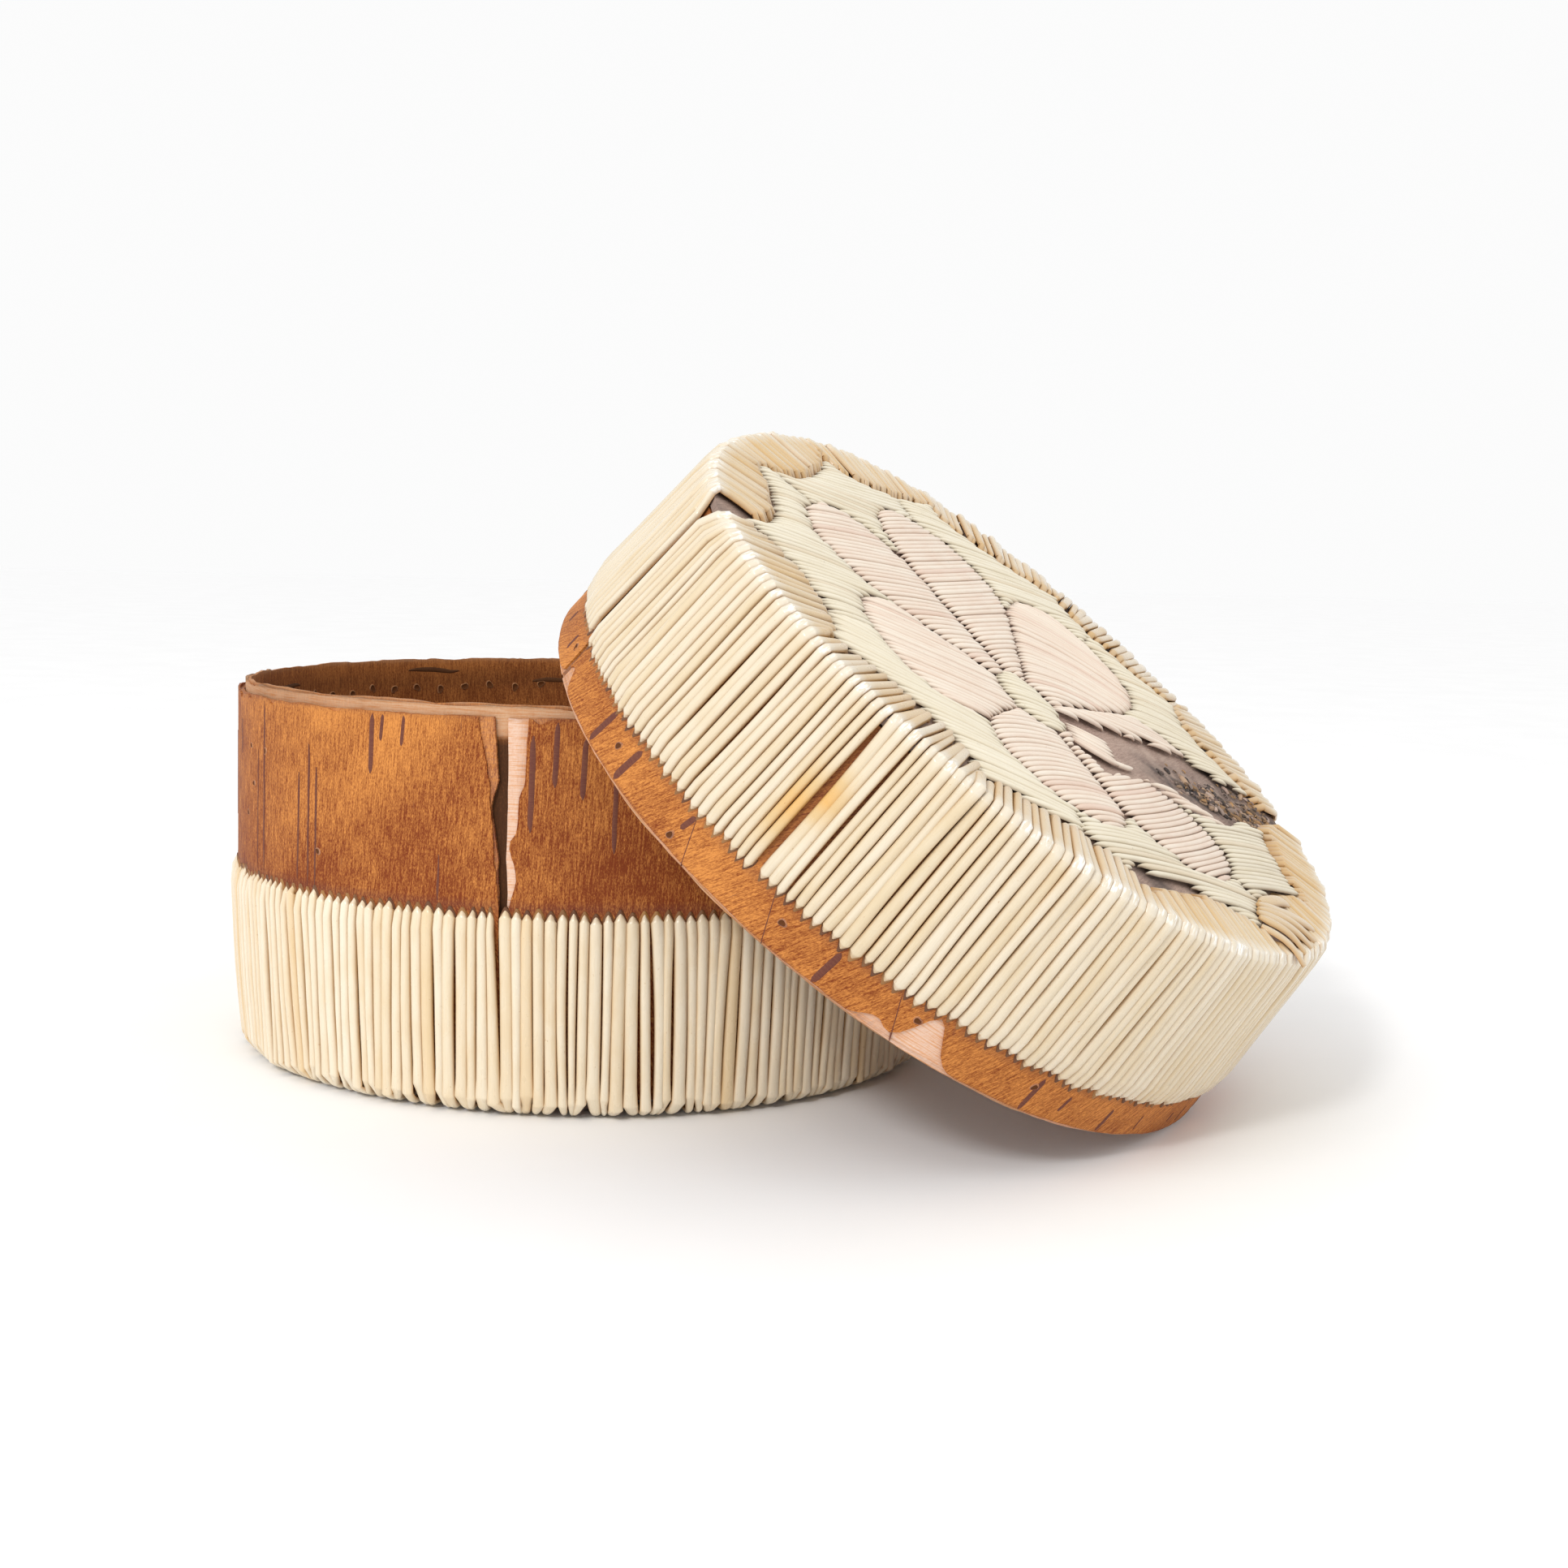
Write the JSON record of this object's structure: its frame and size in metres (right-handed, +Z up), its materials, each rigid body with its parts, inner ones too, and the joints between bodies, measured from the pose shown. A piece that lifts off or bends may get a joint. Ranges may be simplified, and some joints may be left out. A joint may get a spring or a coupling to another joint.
{
  "type": "quilled bark box with lid",
  "caption": "Round birch bark box covered with porcupine quills, with its deep quilled lid off and leaning on it. Holds loose tea or small things.",
  "frame": {"origin": "centre of the base's underside, on the surface that the box stands on", "axes": "+Z up along the base's axis; the lid leans towards +X and a little towards -Y; -Y is the side that a person looks at"},
  "size_m": [0.1604, 0.147, 0.0923],
  "materials": {
    "wall_bark": "outer face of birch bark, satin, orange-brown with dark lenticels",
    "liner_bark": "thin bark sheet, matt, paler tan with short dark lenticels",
    "bottom_bark": "bark disc, matt brown",
    "side_quill": "smooth ivory quill, softly glossy",
    "edge_quill": "ivory quill yellowed where it folds over the edge, softly glossy",
    "ground_quill": "faded grey-green quill, satin and dusty in the seams",
    "petal_quill": "faded pink quill, satin and dusty in the seams"
  },
  "bodies": {
    "base": {"base_bottom_bark": "bottom_bark", "base_bottom_lining": "liner_bark", "base_liner_bark": "liner_bark", "base_quills_1": "side_quill", "base_quills_2": "side_quill", "base_quills_3": "side_quill", "base_quills_4": "side_quill", "base_quills_5": "side_quill", "base_quills_6": "side_quill", "base_quills_7": "side_quill", "base_quills_8": "side_quill", "base_quills_9": "side_quill", "base_quills_10": "side_quill", "base_quills_11": "side_quill", "base_quills_12": "side_quill", "base_wall_bark": "wall_bark"},
    "lid": {"lid_edge_quills_1": "edge_quill", "lid_edge_quills_2": "edge_quill", "lid_edge_quills_3": "edge_quill", "lid_edge_quills_4": "edge_quill", "lid_edge_quills_5": "edge_quill", "lid_edge_quills_6": "edge_quill", "lid_edge_quills_7": "edge_quill", "lid_edge_quills_8": "edge_quill", "lid_edge_quills_9": "edge_quill", "lid_edge_quills_10": "edge_quill", "lid_edge_quills_11": "edge_quill", "lid_edge_quills_12": "edge_quill", "lid_flower_heart": "ground_quill", "lid_ground_quills_1": "ground_quill", "lid_ground_quills_2": "ground_quill", "lid_ground_quills_3": "ground_quill", "lid_ground_quills_4": "ground_quill", "lid_ground_quills_5": "ground_quill", "lid_ground_quills_6": "ground_quill", "lid_ground_quills_7": "ground_quill", "lid_liner_bark": "liner_bark", "lid_petal_quills_1a": "petal_quill", "lid_petal_quills_1b": "petal_quill", "lid_petal_quills_2": "petal_quill", "lid_petal_quills_3": "petal_quill", "lid_petal_quills_4": "petal_quill", "lid_petal_quills_5": "petal_quill", "lid_petal_quills_6": "petal_quill", "lid_petal_quills_7": "petal_quill", "lid_top_bark": "bottom_bark", "lid_top_lining": "liner_bark", "lid_wall_bark": "wall_bark"}
  },
  "joints": [
    {"name": "lid_lift", "type": "slide", "parent": "base", "child": "lid", "axis": [0.556, -0.3145, 0.7694], "range_m": [0, 0.1]}
  ]
}
